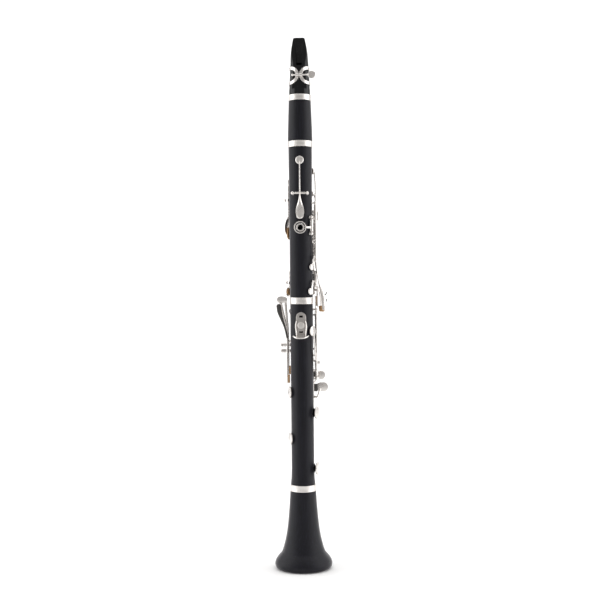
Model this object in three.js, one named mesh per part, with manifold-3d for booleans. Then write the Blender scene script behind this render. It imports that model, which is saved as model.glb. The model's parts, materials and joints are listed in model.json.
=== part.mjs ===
// A full-size Boehm clarinet standing on its bell, in millimetres, +Z up.
// The bore axis is the Z axis. The player's side faces -Y, and +X is the player's right.
// An angle theta is measured about Z from -Y towards +X, in degrees.
import * as THREE from "three";
import { mergeVertices } from "three/addons/utils/BufferGeometryUtils.js";
import Module from "manifold-3d";

const wasm = await Module();
wasm.setup();

// Driving dimensions
const GAP = 0.3;
const BORE = 7.4;
const BELL_TOP = 104.5;
const LOWER_TOP = 339;
const UPPER_TOP = 527.2;
const BARREL_TOP = 593;
const TOTAL = 664;
const LOWER_R = 14.3;
const UPPER_R = 14.4;
const TENON = 20.5;
const TOP_TENON = 16.3;
const PAD_PLANE = 14.9;
const OPEN_PLANE = 17.9;
const RAISED_PLANE = 15.9;
const ROD_R = 0.9;
const TUBE_BORE = 1.3;
const TUBE_R = 2;
const BALL_R = 2.05;
const ROUND = 16;
const RING_OUTER = 7.4;
const RING_INNER = 5.9;
const RING_PLANE = 16;
const HOLE_R = 3.6;
const CHIMNEY_R = 4.7;
const CHIMNEY_TOP = 15.7;

// Where each ring, hole and hinge rod stands
const FINGER = { l1: 436, l2: 404, l3: 373, r1: 301, r2: 274, r3: 247 };
const THUMB_Z = 426.3;
const RODS = {
  thumb: { theta: 53, radius: 17.5 },
  left: { theta: 122, radius: 18 },
  side: { theta: 78, radius: 18.9 },
  sideLow: { theta: 100, radius: 17.6 },
  right: { theta: 105, radius: 18.7 },
  sliver: { theta: 82, radius: 18.1 },
  fc: { theta: 138, radius: 18.5 },
  eb: { theta: 158, radius: 18.5 },
  fsharp: { theta: 210, radius: 18.5 },
  ab: { theta: 180, radius: 19.6 },
};

// Colours of the materials
const WOOD = { color: 0x1c1e22, roughness: 0.7, metalness: 0 };
const EBONITE = { color: 0x0d0d0f, roughness: 0.2, metalness: 0 };
const SILVER = { color: 0xc9ccd0, roughness: 0.22, metalness: 1 };
const CORK = { color: 0x9a6b42, roughness: 0.9, metalness: 0 };

const rad = THREE.MathUtils.degToRad;

function at(theta, radius, z) {
  return new THREE.Vector3(radius * Math.sin(rad(theta)), -radius * Math.cos(rad(theta)), z);
}

// Solids from three.js geometry
function solid(geometry) {
  const plain = geometry.index ? geometry.toNonIndexed() : geometry.clone();
  plain.deleteAttribute("normal");
  plain.deleteAttribute("uv");
  const merged = mergeVertices(plain, 1e-4);
  const vertProperties = merged.attributes.position.array;
  const triVerts = new Uint32Array(merged.index.array);
  return new wasm.Manifold(new wasm.Mesh({ numProp: 3, vertProperties, triVerts }));
}

function join(...parts) {
  return parts.reduce((all, part) => all.add(part));
}

// A profile's points for a lathe, closed on itself or on the axis, always wound the same way round.
function wound(profile) {
  const points = profile.map(([r, z]) => new THREE.Vector2(r, z));
  if (THREE.ShapeUtils.area(points) < 0) points.reverse();
  const open = points[0].x > 0 || points[points.length - 1].x > 0;
  if (open) points.push(points[0].clone());
  return points;
}

function lathe(profile, segments = ROUND) {
  return solid(new THREE.LatheGeometry(wound(profile), segments).rotateX(Math.PI / 2));
}

function ringOf(inner, outer, z0, z1, segments = ROUND) {
  return lathe([[inner, z0], [outer, z0], [outer, z1], [inner, z1]], segments);
}

// The frame at theta: across the body, up, and out of the body.
function frameAt(theta) {
  const across = new THREE.Vector3(Math.cos(rad(theta)), Math.sin(rad(theta)), 0);
  return { across, up: new THREE.Vector3(0, 0, 1), outward: at(theta, 1, 0) };
}

// A lathe whose axis points out of the body at theta, from profile points [radius, distance from the bore axis].
function turned(profile, theta, z, segments = 10) {
  const { across, up, outward } = frameAt(theta);
  const geometry = new THREE.LatheGeometry(wound(profile), segments).rotateX(Math.PI / 2);
  geometry.applyMatrix4(new THREE.Matrix4().makeBasis(across, up, outward));
  return solid(geometry.translate(0, 0, z));
}

function stick(from, to, radius, sides = 6) {
  const along = to.clone().sub(from);
  const geometry = new THREE.CylinderGeometry(radius, radius, along.length(), sides);
  const turn = new THREE.Quaternion().setFromUnitVectors(new THREE.Vector3(0, 1, 0), along.clone().normalize());
  geometry.applyQuaternion(turn);
  const middle = from.clone().add(to).multiplyScalar(0.5);
  return solid(geometry.translate(middle.x, middle.y, middle.z));
}

function ball(centre, radius, rounds = 6) {
  const geometry = new THREE.SphereGeometry(radius, rounds, 4);
  return solid(geometry.translate(centre.x, centre.y, centre.z));
}

// A flat bar through points [theta, radius, z], thin in the outward direction.
function bar(points, width = 2, thickness = 1.4) {
  const places = points.map(([theta, radius, z]) => at(theta, radius, z));
  const pieces = [];
  for (let i = 1; i < places.length; i += 1) {
    const along = places[i].clone().sub(places[i - 1]);
    const middle = places[i].clone().add(places[i - 1]).multiplyScalar(0.5);
    const length = along.length() + thickness;
    along.normalize();
    const outward = new THREE.Vector3(middle.x, middle.y, 0).normalize();
    const across = along.clone().cross(outward).normalize();
    const normal = across.clone().cross(along).normalize();
    const geometry = new THREE.BoxGeometry(width, length, thickness);
    geometry.applyMatrix4(new THREE.Matrix4().makeBasis(across, along, normal));
    pieces.push(solid(geometry.translate(middle.x, middle.y, middle.z)));
  }
  return join(...pieces);
}

// A bent strap round the body.
function strap(from, to, radius, z0, z1, thickness = 1.4) {
  const start = Math.min(from, to);
  const end = Math.max(from, to);
  const steps = Math.max(2, Math.ceil((end - start) / 18));
  const outline = [];
  for (let i = 0; i <= steps; i += 1) {
    const place = at(start + ((end - start) * i) / steps, radius + thickness, 0);
    outline.push(new THREE.Vector2(place.x, place.y));
  }
  for (let i = steps; i >= 0; i -= 1) {
    const place = at(start + ((end - start) * i) / steps, radius, 0);
    outline.push(new THREE.Vector2(place.x, place.y));
  }
  const settings = { depth: z1 - z0, bevelEnabled: false };
  return solid(new THREE.ExtrudeGeometry(new THREE.Shape(outline), settings).translate(0, 0, z0));
}

// The outline round two circles on a line: [across, z, radius] each. It makes touches, teardrops and arms.
function drop(a, b, arc = 4) {
  const direction = Math.atan2(b[1] - a[1], b[0] - a[0]);
  const outline = [];
  for (let i = 0; i <= arc; i += 1) {
    const angle = direction + Math.PI / 2 + (Math.PI * i) / arc;
    outline.push(new THREE.Vector2(a[0] + a[2] * Math.cos(angle), a[1] + a[2] * Math.sin(angle)));
  }
  for (let i = 0; i <= arc; i += 1) {
    const angle = direction - Math.PI / 2 + (Math.PI * i) / arc;
    outline.push(new THREE.Vector2(b[0] + b[2] * Math.cos(angle), b[1] + b[2] * Math.sin(angle)));
  }
  return new THREE.Shape(outline);
}

// A flat plate outside the cylinder of the given radius at theta. Its outline is in (across, z), and it can lean
// outward by an angle about a line across it at the height hingeZ.
function plate(theta, radius, thickness, shape, lean = 0, hingeZ = 0) {
  const { across, up, outward } = frameAt(theta);
  const geometry = new THREE.ExtrudeGeometry(shape, { depth: thickness, bevelEnabled: false, curveSegments: 6 });
  geometry.translate(0, -hingeZ, 0).rotateX(rad(lean)).translate(0, hingeZ, radius);
  return solid(geometry.applyMatrix4(new THREE.Matrix4().makeBasis(across, up, outward)));
}

// A key's cup with its pad, facing the body at theta, with the pad's face at the given radius.
function cup(theta, z, r, face = PAD_PLANE, height = 3) {
  const profile = [[0, face], [r - 0.5, face], [r - 0.5, face + 1], [r, face + 1.1], [r, face + height - 0.9]];
  profile.push([r * 0.8, face + height - 0.2], [0, face + height]);
  return turned(profile, theta, z, r > 6 ? 12 : 10);
}

function fingerRing(z) {
  const low = RING_PLANE;
  const profile = [[RING_INNER, low], [RING_OUTER, low], [RING_OUTER, low + 1.4], [RING_INNER, low + 1.4]];
  return turned(profile, 180, z, 12);
}

// A box at theta: its extents across the body, outward and in height.
function block(theta, [t0, t1], [r0, r1], [z0, z1]) {
  const { across, up, outward } = frameAt(theta);
  const geometry = new THREE.BoxGeometry(t1 - t0, z1 - z0, r1 - r0);
  geometry.translate((t0 + t1) / 2, (z0 + z1) / 2, (r0 + r1) / 2);
  return solid(geometry.applyMatrix4(new THREE.Matrix4().makeBasis(across, up, outward)));
}

function post(theta, radius, z, foot = LOWER_R + GAP) {
  return join(stick(at(theta, foot, z), at(theta, radius, z), 1.4, 5), ball(at(theta, radius, z), BALL_R));
}

// Posts along Z with the steel rod through them.
function rodSet(rod, heights, foot) {
  const steel = stick(at(rod.theta, rod.radius, Math.min(...heights)),
    at(rod.theta, rod.radius, Math.max(...heights)), ROD_R);
  return join(steel, ...heights.map((z) => post(rod.theta, rod.radius, z, foot)));
}

// Two posts beside each other with a rod across the body, each foot ending flat just above the wood.
function crossSet({ theta, radius, z }, half, body) {
  const { across, outward } = frameAt(theta);
  const stem = 1.4;
  const foot = Math.sqrt((body + GAP) ** 2 - (half - stem) ** 2);
  const place = (side, out) => outward.clone().multiplyScalar(out).addScaledVector(across, side).setZ(z);
  const posts = [-half, half].map((side) =>
    join(stick(place(side, foot), place(side, radius), stem, 5), ball(place(side, radius), BALL_R)));
  return join(stick(place(-half, radius), place(half, radius), ROD_R), ...posts);
}

// A hole through the wall at theta.
function toneHole(theta, z, r, sides = 6) {
  return stick(at(theta, 3, z), at(theta, 20, z), r, sides);
}

// Nodes
const clarinet = new THREE.Group();

function node(name, made, look) {
  const mesh = made.getMesh();
  const geometry = new THREE.BufferGeometry();
  const places = new Float32Array(mesh.numVert * 3);
  for (let i = 0; i < mesh.numVert; i += 1) {
    const start = i * mesh.numProp;
    places.set(mesh.vertProperties.subarray(start, start + 3), i * 3);
  }
  geometry.setAttribute("position", new THREE.BufferAttribute(places, 3));
  geometry.setIndex(new THREE.BufferAttribute(new Uint32Array(mesh.triVerts), 1));
  const piece = new THREE.Mesh(geometry, new THREE.MeshStandardMaterial(look));
  piece.name = name;
  clarinet.add(piece);
}

function makeBell() {
  const outside = [[32, 0], [35.2, 2], [36, 6], [34.4, 10.4], [32.5, 14.1], [27.2, 20.3], [25, 26.6], [23, 34.2]];
  outside.push([20.2, 49.3], [18.5, 64.4], [16.2, 96.6 - GAP]);
  const socket = [[14.7, 96.6 - GAP], [14.7, BELL_TOP], [12.9, BELL_TOP], [12.9, BELL_TOP - TENON - 1]];
  const bore = [[10.4, BELL_TOP - TENON - 1], [12.4, 60], [16, 36], [22, 14], [29.5, 0]];
  node("bell", lathe([...outside, ...socket, ...bore], 24), WOOD);
  node("bell_ring", ringOf(15, 16.4, 96.6, BELL_TOP), SILVER);
}

function makeLowerJoint() {
  const floor = BELL_TOP + GAP;
  const outside = [[11.8, floor - TENON], [11.8, floor], [15.2, floor], [14.7, 112], [LOWER_R, 126]];
  outside.push([LOWER_R, 330.6], [13.6, 330.6], [13.6, LOWER_TOP]);
  const socket = [[12.3, LOWER_TOP], [12.3, LOWER_TOP - TENON - 0.5]];
  const bore = [[BORE, LOWER_TOP - TENON - 0.5], [BORE, 190], [10.2, floor - TENON]];
  let body = lathe([...outside, ...socket, ...bore]);
  for (const z of [FINGER.r1, FINGER.r2, FINGER.r3]) {
    body = body.add(turned([[0, 11.5], [CHIMNEY_R, 11.5], [CHIMNEY_R, CHIMNEY_TOP], [0, CHIMNEY_TOP]], 180, z));
    body = body.subtract(toneHole(180, z, HOLE_R));
  }
  const holes = [[150, 317, 3], [60, 297, 2.6], [75, 194.5, 5.6], [77, 124.7, 5.6], [-70, 162.5, 5], [-75, 220.4, 5]];
  for (const [theta, z, r] of holes) body = body.subtract(toneHole(theta, z, r));
  node("lower_joint", body, WOOD);
  node("lower_joint_ring", ringOf(13.9, 15.1, 330.9, LOWER_TOP), SILVER);
  node("lower_joint_cork", ringOf(11.8 + GAP, 12.6, floor - TENON + 3, floor - 1), CORK);
}

function makeUpperJoint() {
  const floor = LOWER_TOP + GAP;
  const outside = [[11.2, floor - TENON], [11.2, floor], [UPPER_R, floor], [UPPER_R, 470], [14.8, 515]];
  outside.push([14.8, UPPER_TOP], [10.9, UPPER_TOP], [10.9, UPPER_TOP + TOP_TENON]);
  let body = lathe([...outside, [BORE, UPPER_TOP + TOP_TENON], [BORE, floor - TENON]]);
  for (const z of [FINGER.l1, FINGER.l2, FINGER.l3]) {
    body = body.add(turned([[0, 11.5], [CHIMNEY_R, 11.5], [CHIMNEY_R, CHIMNEY_TOP], [0, CHIMNEY_TOP]], 180, z));
    body = body.subtract(toneHole(180, z, HOLE_R));
  }
  body = body.subtract(toneHole(0, THUMB_Z, 5.9, 12)).subtract(toneHole(0, 509.9, 2.5, 10));
  const holes = [[150, 421, 2.6], [150, 389, 2.8], [180, 499, 2.6], [-122, 485, 2.6], [115, 498.4, 2.4]];
  holes.push([125, 470, 2.4], [57, 377, 2.6], [49, 346.7, 2.8], [-155, 390, 2.4], [-125, 370, 2.6]);
  for (const [theta, z, r] of holes) body = body.subtract(toneHole(theta, z, r));
  node("upper_joint", body, WOOD);
  node("upper_joint_top_cork", ringOf(10.9 + GAP, 11.7, UPPER_TOP + 2, UPPER_TOP + TOP_TENON - 2), CORK);
  node("upper_joint_bottom_cork", ringOf(11.2 + GAP, 12, floor - TENON + 3, floor - 2), CORK);
  const thumb = [[3.3, 8.2], [5.6, 8.2], [5.6, 15.6], [3.3, 15.6]];
  node("thumb_tube", turned(thumb, 0, THUMB_Z, 14), SILVER);
  node("register_tube", turned([[1.2, 5.2], [2.2, 5.2], [2.2, 16.2], [1.2, 16.2]], 0, 509.9, 10), SILVER);
}

function makeBarrel() {
  const floor = UPPER_TOP + GAP;
  const outside = [[14.1, floor], [14.1, 535.2], [15.5, 535.2], [15.5, 539], [15.05, 555], [14.5, 572]];
  outside.push([14, 585.5], [12.8, 585.5], [12.8, BARREL_TOP]);
  const inside = [[11.9, BARREL_TOP], [11.9, 576.5], [BORE, 576.5], [BORE, 544.5], [11.9, 544.5], [11.9, floor]];
  node("barrel", lathe([...outside, ...inside]), WOOD);
  node("barrel_lower_ring", ringOf(14.4, 15.9, floor, 534.9), SILVER);
  node("barrel_upper_ring", ringOf(13.1, 14.45, 585.8, BARREL_TOP), SILVER);
}

// Flattens the sides of the round mouthpiece towards its tip, which is nearly as wide as a reed.
function squareTip(geometry) {
  const places = geometry.attributes.position;
  for (let i = 0; i < places.count; i += 1) {
    const place = new THREE.Vector3().fromBufferAttribute(places, i);
    const flat = THREE.MathUtils.smoothstep(place.z, 628, 653);
    const angle = Math.atan2(place.y, place.x);
    const radius = Math.hypot(place.x, place.y);
    const squared = (value) => Math.sign(value) * Math.abs(value) ** (1 / (1 + 1.3 * flat));
    const depth = radius * (1 + 0.7 * flat);
    places.setXY(i, radius * squared(Math.cos(angle)), depth * squared(Math.sin(angle)));
  }
  return geometry;
}

function makeMouthpiece() {
  const floor = BARREL_TOP + GAP;
  const outside = [[10.9, 577], [10.9, floor], [13.3, floor], [13.35, 599], [13.05, 602.6], [11.66, 628]];
  outside.push([11.4, 632.8], [11.05, 640], [10.3, 648], [9.1, 655], [8.2, 659.4], [7.6, 662.2], [6.9, TOTAL], [0, TOTAL]);
  const profile = wound([...outside, [0, 634], [BORE, 622], [BORE, 577]]);
  let body = solid(squareTip(new THREE.LatheGeometry(profile, ROUND).rotateX(Math.PI / 2)));
  // The beak slopes on the front, and the table is flat on the player's side with the window in it.
  const beak = new THREE.Shape([new THREE.Vector2(15, 626), new THREE.Vector2(30, 626)]);
  beak.lineTo(30, TOTAL + 1);
  beak.lineTo(-7.3, TOTAL + 1);
  beak.lineTo(-7.3, TOTAL);
  beak.closePath();
  const side = new THREE.Matrix4().makeBasis(
    new THREE.Vector3(0, 1, 0), new THREE.Vector3(0, 0, 1), new THREE.Vector3(1, 0, 0));
  const wedge = new THREE.ExtrudeGeometry(beak, { depth: 40, bevelEnabled: false }).translate(0, 0, -20);
  body = body.subtract(solid(wedge.applyMatrix4(side)));
  const table = new THREE.BoxGeometry(30, 10, 70).translate(0, -9.2 - 5, 600 + 35);
  body = body.subtract(solid(table));
  const mouth = drop([0, 636, 3.4], [0, 656, 4.6], 4);
  const window = new THREE.ExtrudeGeometry(mouth, { depth: 9, bevelEnabled: false });
  const turn = new THREE.Matrix4().makeBasis(
    new THREE.Vector3(1, 0, 0), new THREE.Vector3(0, 0, 1), new THREE.Vector3(0, -1, 0));
  window.applyMatrix4(turn).translate(0, -3.4, 0);
  body = body.subtract(solid(window));
  node("mouthpiece", body, EBONITE);
  node("mouthpiece_cork", ringOf(10.9 + GAP, 11.7, 579, BARREL_TOP - 2), CORK);
}

// A key on a rod along Z: its hinge tube runs from z0 to z1, and the rod's bore is cut through everything on it.
function axialKey(name, rod, z0, z1, ...parts) {
  const line = (from, to, radius) => stick(at(rod.theta, rod.radius, from), at(rod.theta, rod.radius, to), radius);
  const whole = join(line(z0, z1, TUBE_R), ...parts);
  node(name, whole.subtract(line(z0 - 3, z1 + 3, TUBE_BORE)), SILVER);
}

// A key that seesaws on a rod across the body: its hinge tube reaches from one side to the other of theta.
function crossKey(name, hinge, from, to, ...parts) {
  const { across } = frameAt(hinge.theta);
  const centre = at(hinge.theta, hinge.radius, hinge.z);
  const line = (a, b, radius) =>
    stick(centre.clone().addScaledVector(across, a), centre.clone().addScaledVector(across, b), radius);
  const whole = join(line(from, to, TUBE_R), ...parts);
  node(name, whole.subtract(line(from - 2, to + 2, TUBE_BORE)), SILVER);
}

const HINGES = {
  register: { theta: 0, radius: 19.4, z: 468.7 },
  throatA: { theta: 180, radius: 19, z: 470 },
  throatG: { theta: -122, radius: 19, z: 462 },
  sliverE: { theta: -155, radius: 18.6, z: 382 },
  cSharp: { theta: -125, radius: 18.8, z: 358 },
  leverEB: { theta: -97, radius: 24.6, z: 279.7 },
  leverF: { theta: -97, radius: 24.6, z: 272.1 },
  leverFC: { theta: -143, radius: 19, z: 284 },
};

function makeUpperKeys() {
  crossKey("register_key", HINGES.register, -6.6, 6.6,
    cup(0, 509.9, 5.2, 16.5, 2.9),
    plate(0, 18.8, 1.7, drop([0, 511, 1.6], [0, 461, 1.6], 3)),
    plate(0, 18.6, 1.7, drop([0, 462, 2], [0, 445, 5.2])),
    plate(0, 18.6, 1.7, drop([0, 445, 5.2], [0, 438.6, 2.5])));
  axialKey("thumb_ring_key", RODS.thumb, 421.2, 436.8,
    turned([[6.3, 16.1], [7.9, 16.1], [7.9, 17.5], [6.3, 17.5]], 0, THUMB_Z, 16),
    strap(22.5, 53, 16.9, THUMB_Z - 1.2, THUMB_Z + 1.2, 1.3));
  axialKey("first_ring_key", RODS.left, 415.4, 445.1,
    fingerRing(FINGER.l1), strap(122, 157, 17.2, FINGER.l1 - 1.2, FINGER.l1 + 1.2),
    cup(150, 421, 4.4, RAISED_PLANE), strap(122, 148, 17.8, 420, 422.4));
  axialKey("second_ring_key", RODS.left, 347, 410.6,
    fingerRing(FINGER.l2), strap(122, 157, 17.2, FINGER.l2 - 1.2, FINGER.l2 + 1.2),
    cup(150, 389, 4.6, RAISED_PLANE), strap(122, 148, 17.8, 387.8, 390.2),
    strap(104, 122, 18.8, 347, 350), block(104, [-1.6, 1.6], [19.4, 20.8], [327.5, 350]));
  crossKey("throat_a_key", HINGES.throatA, -4.6, 4.6,
    cup(180, 499, 4.5), plate(180, 17.6, 1.6, drop([0, 501, 1.6], [0, 455, 1.6], 3)),
    plate(180, 18.6, 1.6, drop([0, 455.5, 3.6], [0, 451.5, 4.4])));
  crossKey("throat_g_sharp_key", HINGES.throatG, -4.6, 4.6,
    cup(-122, 485, 4.5), plate(-122, 17.6, 1.6, drop([0, 487, 1.6], [0, 440, 1.6], 3)),
    plate(-122, 18.7, 1.5, drop([0, 435.8, 6.3], [0, 419.4, 6.3], 6)),
    plate(-122, 17, 1.8, drop([0, 417, 4.4], [0, 424, 4.4])));
  crossKey("sliver_e_flat_key", HINGES.sliverE, -3.2, 3.2,
    cup(-155, 390, 3.8), plate(-155, 17.5, 1.4, drop([0, 391, 1.3], [0, 366, 2], 4)));
  crossKey("c_sharp_g_sharp_key", HINGES.cSharp, -3.6, 3.6,
    cup(-125, 370, 4.2), plate(-125, 17.6, 1.4, drop([0, 371, 1.5], [0, 352, 1.5], 3)),
    bar([[-125, 18.3, 355], [-125, 20.8, 350]], 3), plate(-125, 20.1, 1.5, drop([0, 347.5, 5], [0, 345, 5])),
    turned([[0, 18.4], [4.4, 18.4], [4.4, 20.2], [0, 20.2]], -125, 346.6, 10));
}

// The four side keys. Each long arm flares out to its touch beside the body.
const SIDE_TOUCH = { width: 4, high: 348, low: 322, inner: 27, outer: 33 };

function sideArm(theta, from, touchTheta) {
  const { width, high, low, inner, outer } = SIDE_TOUCH;
  const start = Math.min(from, 384);
  const arm = bar([[theta, 18.5, from], [theta, 18.5, start - 0.1], [touchTheta, inner, high]]);
  return arm.add(bar([[touchTheta, inner, high], [touchTheta, outer, low]], width, 1.5));
}

function makeSideKeys() {
  const rod = RODS.side;
  axialKey("side_key_1", RODS.sideLow, 357, 368,
    cup(49, 346.7, 4.4), strap(60, 100, 16.6, 358, 360.4), bar([[60, 17.4, 359], [52, 17.9, 350], [49, 17.6, 347]]),
    strap(100, 109, 17.2, 363, 365.4),
    bar([[109, 18.2, 364], [120, 27, 348]]), bar([[120, 27, 348], [120, 33, 322]], SIDE_TOUCH.width, 1.5));
  axialKey("side_key_2", rod, 387.9, 406.1,
    cup(57, 377, 4.2), strap(66, 78, 17.7, 389, 391.4), bar([[66, 18.4, 390.2], [60, 18.2, 381], [57, 17.6, 377]]),
    strap(78, 89, 17.9, 395, 397.4), sideArm(89, 396.2, 78));
  axialKey("side_key_3", rod, 410.9, 433.1,
    cup(125, 470, 4.2), strap(78, 97, 17.9, 427.8, 430.2), sideArm(97, 429, 92),
    bar([[97, 18.6, 429], [97, 18.6, 433.5], [97, 21.2, 437], [97, 21.2, 446], [97, 18.6, 449.5]]),
    bar([[97, 18.6, 449.5], [99, 18.6, 462], [118, 17.6, 470]]));
  axialKey("side_key_4", rod, 437.9, 455.1,
    cup(115, 498.4, 4.4), strap(78, 90, 17.9, 450, 452.4),
    bar([[90, 18.6, 451.2], [90, 18.6, 463], [100, 18.5, 492], [111, 17.8, 498.4]]),
    strap(78, 105, 17.9, 440, 442.4), sideArm(105, 441.2, 106));
}

function makeLowerKeys() {
  const rings = [FINGER.r1, FINGER.r2, FINGER.r3];
  axialKey("right_ring_key", RODS.right, 240.4, 321.6,
    ...rings.map(fingerRing), ...rings.map((z) => strap(105, 157, 17.2, z - 1.2, z + 1.2)),
    cup(150, 317, 4.6, RAISED_PLANE), strap(105, 148, 17.8, 315.8, 318.2),
    strap(93, 105, 17, 318, 320.4), block(93, [-1.2, 1.2], [17, 18.1], [318, 341]),
    strap(93, 108, 17, 337, 341, 1.1));
  axialKey("sliver_b_key", RODS.sliver, 250.2, 264.3,
    cup(60, 297, 6.4), strap(72, 82, 17.5, 260, 262.4), bar([[72, 18.2, 261], [66, 18, 280], [61, 17.6, 293]]),
    strap(79, 85, 19.2, 256, 259, 3.6), strap(82, 128, 21.6, 256, 259, 1.3),
    bar([[128, 22.2, 257.5], [148, 19.8, 260]]), plate(150, 18.9, 1.5, drop([-3, 260.5, 2.5], [4.5, 260.5, 2.7])));
  axialKey("a_flat_e_flat_key", RODS.ab, 208.4, 219.6,
    strap(172, 188, 20.4, 211, 214, 2.4), strap(125, 222, 22.2, 211, 214),
    bar([[222, 22.9, 212.5], [237, 20.2, 214], [252, 17.7, 217], [268, 17.5, 219.4], [284, 17.6, 220]], 3),
    cup(-75, 220.4, 7.6), stick(at(125, 22.9, 212.5), new THREE.Vector3(22, 20, 223), 1.3, 6),
    plate(180, 19.4, 1.4, drop([-22.8, 225, 6], [-26, 225, 6])));
  axialKey("f_c_key", RODS.fc, 192.9, 231.1,
    cup(75, 194.5, 8.2, OPEN_PLANE), strap(90, 138, 19, 195, 198, 1.6),
    stick(at(138, 18.5, 228.5), new THREE.Vector3(20, 20, 237), 1.2, 6),
    plate(180, 19.4, 1.4, drop([-22.6, 240, 5.8], [-22.4, 240, 5.8])));
  axialKey("f_sharp_c_sharp_key", RODS.fsharp, 160.9, 235,
    cup(-70, 162.5, 7.4), strap(210, 284, 16.8, 161.5, 164.5, 1.5),
    strap(206, 214, 19.4, 231.6, 234.2, 3.2), strap(165, 210, 21.2, 231.6, 234.2),
    block(180, [-9.5, -4], [21.2, 22.6], [231.6, 236]),
    plate(180, 21.4, 1.4, drop([-10.5, 238.2, 4.2], [-12, 238.2, 4.2])));
  axialKey("e_b_key", RODS.eb, 122, 234,
    cup(77, 124.7, 8.1, OPEN_PLANE), strap(92, 158, 19, 123.4, 126.4, 1.6),
    stick(at(158, 18.5, 225), new THREE.Vector3(10.5, 22, 225), 1.2, 6),
    plate(180, 21.4, 1.4, drop([-10.5, 225, 4.2], [-12, 225, 4.2])));
}

// The left-hand levers. Each one hangs beside its tall post by an ear on the post's pin.
function tallLever(name, hinge, side, touch, foot) {
  const { theta, radius, z } = hinge;
  const span = side > 0 ? [3.1, 5.7] : [-5.7, -3.1];
  const middle = 4.4 * side;
  crossKey(name, hinge, span[0], span[1],
    block(theta, span, [17.2, radius], [z - 1.5, z + 1.5]), block(theta, span, [17.2, 18.6], [foot, 291]),
    plate(theta, 17.3, 1.4, drop([middle, 290, 1.3], [middle, 330, 1.3], 3), 15.5, 290),
    plate(theta, 17.9, 1.5, touch, 15.5, 290));
}

function makeLevers() {
  tallLever("left_e_b_lever", HINGES.leverEB, 1, drop([4.6, 312, 1.8], [7, 328, 3.6]), 231.6);
  tallLever("left_f_sharp_lever", HINGES.leverF, -1, drop([-4.6, 333, 4.2], [-9, 337, 4.6]), 242);
  crossKey("left_f_c_lever", HINGES.leverFC, -3.2, 3.2,
    plate(-143, 17.6, 1.4, drop([0, 302, 1.5], [0, 262, 1.5], 3)),
    plate(-143, 17.6, 1.4, drop([0, 299, 1.5], [0, 325, 3.2]), 18, 299));
}

function tallPost(hinge, side) {
  const { across } = frameAt(hinge.theta);
  const head = at(hinge.theta, hinge.radius, hinge.z);
  const end = head.clone().addScaledVector(across, 7.4 * side);
  const out = (radius) => at(hinge.theta, radius, hinge.z);
  const column = stick(out(17.4), out(27), 2.2, 10);
  return join(stick(out(LOWER_R + GAP), head, 1.4, 6), column, stick(head, end, ROD_R), ball(end, 1.4));
}

function makePosts() {
  const upper = UPPER_R + GAP;
  node("register_key_posts", crossSet(HINGES.register, 9, 14.5), SILVER);
  node("throat_a_key_posts", crossSet(HINGES.throatA, 7, 14.5), SILVER);
  node("throat_g_sharp_key_posts", crossSet(HINGES.throatG, 7, UPPER_R), SILVER);
  node("sliver_e_flat_key_posts", crossSet(HINGES.sliverE, 5.6, UPPER_R), SILVER);
  node("c_sharp_g_sharp_key_posts", crossSet(HINGES.cSharp, 6, UPPER_R), SILVER);
  node("left_f_c_lever_posts", crossSet(HINGES.leverFC, 5.6, LOWER_R), SILVER);
  node("thumb_ring_key_posts", rodSet(RODS.thumb, [418.8, 439.2], upper), SILVER);
  node("ring_key_posts", rodSet(RODS.left, [344.6, 413, 447.5], upper), SILVER);
  node("side_key_posts", rodSet(RODS.side, [385.5, 408.5, 435.5, 457.5], upper), SILVER);
  node("side_key_1_posts", rodSet(RODS.sideLow, [354.6, 370.4], upper), SILVER);
  node("right_ring_key_posts", rodSet(RODS.right, [238, 324]), SILVER);
  node("sliver_b_key_posts", rodSet(RODS.sliver, [247.7, 266.8]), SILVER);
  node("a_flat_e_flat_key_posts", rodSet(RODS.ab, [206, 222]), SILVER);
  node("f_c_key_posts", rodSet(RODS.fc, [190.5, 233.5]), SILVER);
  node("f_sharp_c_sharp_key_posts", rodSet(RODS.fsharp, [158.5, 237.4]), SILVER);
  node("e_b_key_posts", rodSet(RODS.eb, [119.6, 236.4]), SILVER);
  node("left_e_b_lever_post", tallPost(HINGES.leverEB, 1), SILVER);
  node("left_f_sharp_lever_post", tallPost(HINGES.leverF, -1), SILVER);
}

function makeThumbRest() {
  const slot = (z) => block(0, [-2.25, 2.25], [14, 17], [z - 1, z + 1]);
  const backing = plate(0, 14.7, 1.4, drop([0, 298.4, 6.2], [0, 314.5, 6.2], 6));
  node("thumb_rest_plate", backing.subtract(slot(315.4)).subtract(slot(295.9)), SILVER);
  const slider = block(0, [-7.55, 7.55], [16.4, 18], [291, 311]);
  node("thumb_rest_hook", slider.add(block(0, [-9.85, 9.85], [16.4, 34], [288, 291])), SILVER);
  node("thumb_rest_screw", turned([[0, 18.3], [4.15, 18.3], [4.15, 20.6], [0, 20.6]], 0, 304.3, 16), SILVER);
}

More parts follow.
